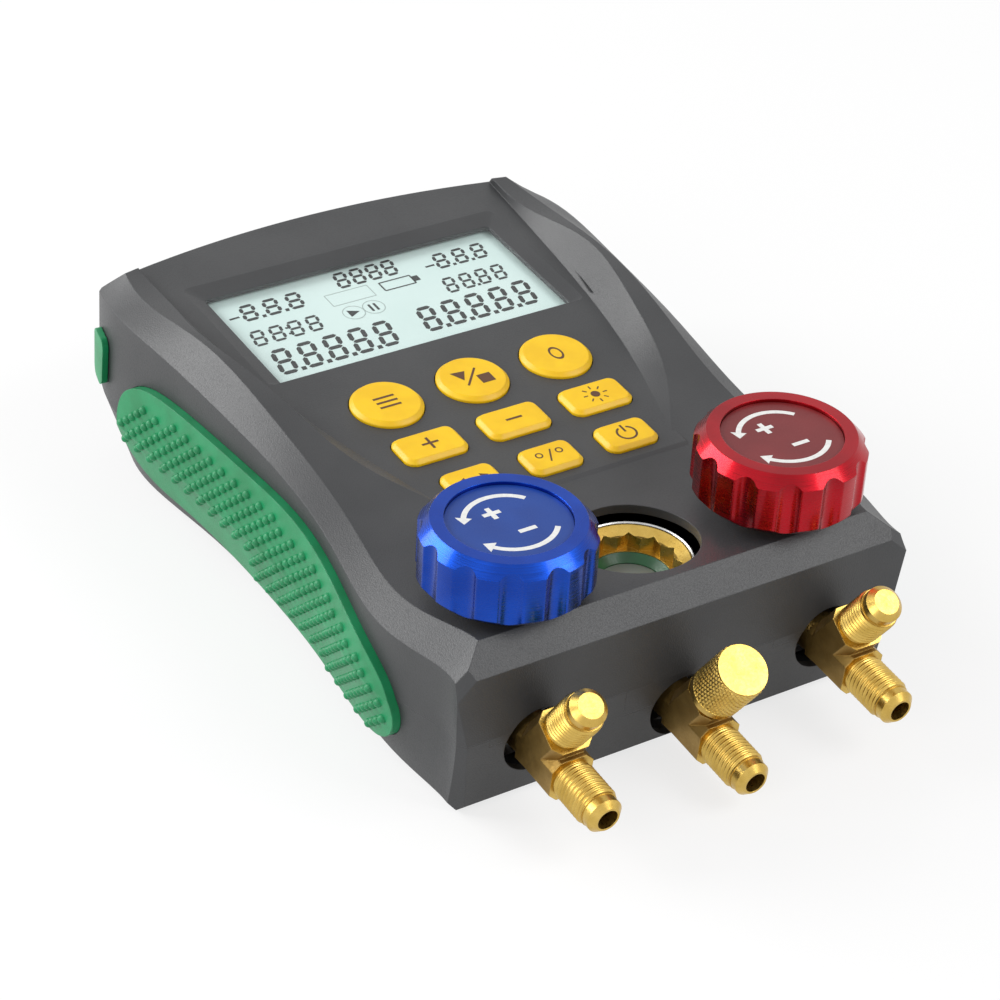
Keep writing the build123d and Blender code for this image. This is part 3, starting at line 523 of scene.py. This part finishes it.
def grip_places(tree, side):
    """Where the grip's face is wide enough round a point of the lattice for a dome."""
    for row in range(DOT_ROWS):
        for step in range(DOTS_IN_A_ROW):
            y = (DOT_START[0] + row * DOT_ROW_PITCH + step * DOT_STEP[0]) * MM
            z = (DOT_START[1] + step * DOT_STEP[1]) * MM
            place, normal = side_hit(tree, side, y, z)
            if place is None:
                continue
            near = [side_hit(tree, side, y + dy * MM, z + dz * MM)[0] for dy, dz in DOT_MARGINS]
            if any(other is None or abs(other.x - place.x) > 1.2 * MM for other in near):
                continue
            yield Matrix.Translation(place) @ normal.to_track_quat("Z", "Y").to_matrix().to_4x4()


def add_dome(mesh, place, radius, height, around=12, rings=4):
    rows = []
    for ring in range(rings):
        angle = math.pi / 2 * ring / rings
        width, level = radius * math.cos(angle), height * math.sin(angle) - DOT_SINK * MM
        row = []
        for index in range(around):
            turn = 2 * math.pi * index / around
            corner = Vector((width * math.cos(turn), width * math.sin(turn), level))
            row.append(mesh.verts.new(place @ corner))
        rows.append(row)
    top = mesh.verts.new(place @ Vector((0.0, 0.0, height - DOT_SINK * MM)))
    for low, high in zip(rows, rows[1:]):
        for index in range(around):
            after = (index + 1) % around
            mesh.faces.new((low[index], low[after], high[after], high[index]))
    for index in range(around):
        mesh.faces.new((rows[-1][index], rows[-1][(index + 1) % around], top))


def add_grip_dots():
    for side, name in ((-1, "left"), (1, "right")):
        mesh = bmesh.new()
        for place in grip_places(surface_of(f"{name}_grip"), side):
            add_dome(mesh, place, DOT_RADIUS * MM, DOT_HEIGHT * MM)
        data = bpy.data.meshes.new(f"{name}_grip_dots")
        mesh.to_mesh(data)
        mesh.free()
        shade_smooth(data)
        add_piece(f"{name}_grip_dots", data, grip_green, "casing")


def shade_smooth(data):
    for face in data.polygons:
        face.use_smooth = True


# Turned sleeves: a grid round an axis whose radius follows a function of turn and length
def sleeve_mesh(name, origin, axis, start, end, radius_at, around, rows):
    across = Vector((1.0, 0.0, 0.0))
    other = axis.cross(across)
    points = []
    for row in range(rows + 1):
        length = start + (end - start) * row / rows
        for index in range(around):
            turn = 2 * math.pi * index / around
            radius = radius_at(turn, length) * MM
            spoke = across * math.cos(turn) + other * math.sin(turn)
            points.append(origin + axis * (length * MM) + spoke * radius)
    faces = []
    for row in range(rows):
        low, high = row * around, (row + 1) * around
        for index in range(around):
            after = (index + 1) % around
            faces.append((low + index, low + after, high + after, high + index))
    data = bpy.data.meshes.new(name)
    data.from_pydata(points, [], faces)
    return data


def shrink(data, origin, axis, low, high, radius, to):
    """Moves the vertices on a cylinder's face inwards, where a sleeve covers it."""
    reach = 0.08 * MM
    for vertex in data.vertices:
        offset = vertex.co - origin
        length = offset.dot(axis)
        spoke = offset - axis * length
        if low * MM <= length <= high * MM and abs(spoke.length - radius * MM) < reach:
            vertex.co = origin + axis * length + spoke * (to / radius)


def copy_of(node, material, body):
    data = nodes[node].data.copy()
    piece = add_piece(node + "_turned", data, material, body)
    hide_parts(node)
    return piece


def arm_axis(angle):
    """The way out of a fork's arm that rises towards the hoses by an angle."""
    turn = math.radians(angle)
    return Vector((0.0, -math.cos(turn), math.sin(turn)))


def mark_turned(data, origin, axis, start):
    """Gives the turned end of an arm the bright finish, and leaves the forged bar dull."""
    turned_reach = 6.2 * MM
    for face in data.polygons:
        offset = face.center - origin
        length = offset.dot(axis)
        if length > start * MM and (offset - axis * length).length < turned_reach:
            face.material_index = 1


def fade_at_ends(length, start, end, run_out):
    """One along a sleeve, down to nought at both ends."""
    return min(1.0, max(0.0, (length - start) / run_out), max(0.0, (end - length) / run_out))


def thread_radius(start, end):
    """A helical ridge that runs out at both ends."""
    def radius_at(turn, length):
        phase = (length / THREAD_PITCH - turn / (2 * math.pi)) % 1.0
        wave = max(0.0, min(1.0, (0.5 - abs(phase - 0.5)) * 2.6 - 0.12))
        return THREAD_RADIUS - THREAD_DEPTH + THREAD_DEPTH * wave * fade_at_ends(length, start, end, 0.7)
    return radius_at


def add_threads():
    forks = (
        ("left", -SIDE_FORK_X, SIDE_FORK_Z),
        ("middle", 0.0, MIDDLE_FORK_Z),
        ("right", SIDE_FORK_X, SIDE_FORK_Z),
    )
    arms = (("low", LOW_ARM_ANGLE, 12.1, 23.1), ("high", HIGH_ARM_ANGLE, 14.1, 25.1))
    for side, x, z in forks:
        origin = Vector((x, FORK_Y, z)) * MM
        body = copy_of(f"{side}_fitting", forged_brass, "casing")
        body.data.materials.append(brass)
        for arm, angle, start, end in arms:
            axis = arm_axis(angle)
            shrink(
                body.data, origin, axis, start - 0.4, end + 0.4, THREAD_RADIUS, THREAD_RADIUS - THREAD_DEPTH,
            )
            mark_turned(body.data, origin, axis, start - 0.8)
            name = f"{side}_thread_{arm}"
            data = sleeve_mesh(name, origin, axis, start, end, thread_radius(start, end), 64, 70)
            shade_smooth(data)
            add_piece(name, data, brass, "casing")


def knurl_radius(outer, depth, low, high):
    """Crossed ridges round the cap, with a plain band at its lower edge."""
    ridges, lead = 26, 1.6
    def radius_at(turn, length):
        first = (turn * ridges / (2 * math.pi) + length / lead) % 1.0
        second = (turn * ridges / (2 * math.pi) - length / lead) % 1.0
        ridge = min(0.5 - abs(first - 0.5), 0.5 - abs(second - 0.5)) * 2
        wave = min(1.0, ridge * 1.4) * fade_at_ends(length, low, high, 0.3)
        band = 0.9 if length < low + 0.35 else 0.0
        return outer - depth + depth * max(wave, band)
    return radius_at


def add_knurl():
    axis = arm_axis(HIGH_ARM_ANGLE)
    origin = Vector((0.0, FORK_Y, MIDDLE_FORK_Z)) * MM
    cap = copy_of("port_cap", brass, "port_cap")
    outer, depth, low, high = 6.9, 0.42, 16.6, 30.3
    shrink(cap.data, origin, axis, low - 1.8, high + 0.3, outer, outer - depth)
    radius_at = knurl_radius(outer, depth, low, high)
    data = sleeve_mesh("cap_knurl", origin, axis, low - 1.6, high, radius_at, 208, 72)
    add_piece("cap_knurl", data, brass, "port_cap")


add_display_marks()
add_key_marks()
add_knob_marks()
add_grip_dots()
add_threads()
add_knurl()

# Camera, as the photograph was taken: degrees, millimetres and pixels
CAMERA_AZIMUTH = -34.918
CAMERA_ELEVATION = 34.023
CAMERA_YAW = -0.602
CAMERA_PITCH = 0.032
CAMERA_ROLL = -4.025
CAMERA_DISTANCE = 814.754
CAMERA_TARGET = (0.0, -27.55, 30.0)
FOCAL_LENGTH = 3154.59
PICTURE_WIDTH = 1000


def camera_axes(back):
    """The camera's right, up and back ways as rows, from a level view turned by small angles."""
    azimuth = math.radians(CAMERA_AZIMUTH)
    right = Vector((math.cos(azimuth), math.sin(azimuth), 0.0))
    level = Matrix((right, back.cross(right), back))
    yaw = Matrix.Rotation(math.radians(CAMERA_YAW), 3, "Y")
    pitch = Matrix.Rotation(math.radians(CAMERA_PITCH), 3, "X")
    roll = Matrix.Rotation(math.radians(CAMERA_ROLL), 3, "Z")
    return roll @ pitch @ yaw @ level


def place_camera():
    azimuth, elevation = math.radians(CAMERA_AZIMUTH), math.radians(CAMERA_ELEVATION)
    level = math.cos(elevation)
    back = Vector((math.sin(azimuth) * level, -math.cos(azimuth) * level, math.sin(elevation)))
    place = Vector(CAMERA_TARGET) * MM + CAMERA_DISTANCE * MM * back
    data = bpy.data.cameras.new("camera")
    data.sensor_width = 36.0
    data.lens = FOCAL_LENGTH / PICTURE_WIDTH * data.sensor_width
    data.clip_start = 0.01
    camera = bpy.data.objects.new("camera", data)
    camera.matrix_world = Matrix.Translation(place) @ camera_axes(back).transposed().to_4x4()
    bpy.context.scene.collection.objects.link(camera)
    bpy.context.scene.camera = camera


# Studio: pale floor, soft lamps, a white backdrop for the camera and for reflections
SOFT_LIGHT = 0.42
FLOOR_HALF = 4.0
FLOOR_DROP = 0.0002
FLOOR_GLOW = 0.75


def seen_ray(tree):
    """One for what the camera sees, straight, in a reflection or through glass, and nought for light."""
    rays = tree.nodes.new("ShaderNodeLightPath")
    seen = rays.outputs["Is Camera Ray"]
    for other in ("Is Glossy Ray", "Is Transmission Ray"):
        either = tree.nodes.new("ShaderNodeMath")
        either.operation = "MAXIMUM"
        tree.links.new(seen, either.inputs[0])
        tree.links.new(rays.outputs[other], either.inputs[1])
        seen = either.outputs[0]
    return seen


def mix_shaders(tree, share, first, second, surface):
    mix = tree.nodes.new("ShaderNodeMixShader")
    for index, output in enumerate((share, first, second)):
        tree.links.new(output, mix.inputs[index])
    tree.links.new(mix.outputs[0], surface)


def make_world():
    world = bpy.data.worlds.new("studio")
    bpy.context.scene.world = world
    world.use_nodes = True
    tree = world.node_tree
    tree.nodes.clear()
    backgrounds = []
    for strength in (SOFT_LIGHT, 1.0):
        background = tree.nodes.new("ShaderNodeBackground")
        background.inputs["Color"].default_value = (1.0, 1.0, 1.0, 1.0)
        background.inputs["Strength"].default_value = strength
        backgrounds.append(background.outputs[0])
    output = tree.nodes.new("ShaderNodeOutputWorld")
    mix_shaders(tree, seen_ray(tree), *backgrounds, output.inputs["Surface"])


def make_floor():
    mesh = bpy.data.meshes.new("floor")
    corners = [(FLOOR_HALF * x, FLOOR_HALF * y, 0) for x, y in ((-1, -1), (1, -1), (1, 1), (-1, 1))]
    mesh.from_pydata(corners, [], [(0, 1, 2, 3)])
    floor = bpy.data.objects.new("floor", mesh)
    floor.location.z = -FLOOR_DROP
    bpy.context.scene.collection.objects.link(floor)
    mesh.materials.append(floor_material())


def floor_material():
    s = Shader("floor_white", colour=(0.93, 0.93, 0.93), roughness=0.8)
    white = s.add("ShaderNodeEmission", Strength=1.0)
    share = s.add("ShaderNodeMath")
    share.operation = "MULTIPLY"
    s.tree.links.new(seen_ray(s.tree), share.inputs[0])
    share.inputs[1].default_value = FLOOR_GLOW
    surface = s.tree.nodes["Material Output"].inputs["Surface"]
    mix_shaders(s.tree, share.outputs[0], s.shader.outputs[0], white.outputs[0], surface)
    return s.material


def make_lamp(name, place, size, power):
    data = bpy.data.lights.new(name, "AREA")
    data.shape = "RECTANGLE"
    data.size, data.size_y = size
    data.energy = power
    lamp = bpy.data.objects.new(name, data)
    lamp.location = place
    aim = Vector((0.0, -0.02, 0.03))
    lamp.rotation_euler = (aim - Vector(place)).to_track_quat("-Z", "Y").to_euler()
    bpy.context.scene.collection.objects.link(lamp)


place_camera()
make_world()
make_floor()
make_lamp("key_lamp", (-0.95, 0.95, 0.75), (1.1, 0.8), 20.0)
make_lamp("fill_lamp", (0.75, -0.85, 1.05), (0.8, 0.7), 9.0)
make_lamp("side_lamp", (-1.2, -0.6, 0.7), (0.8, 0.6), 6.0)

bpy.context.scene.view_settings.view_transform = "Standard"
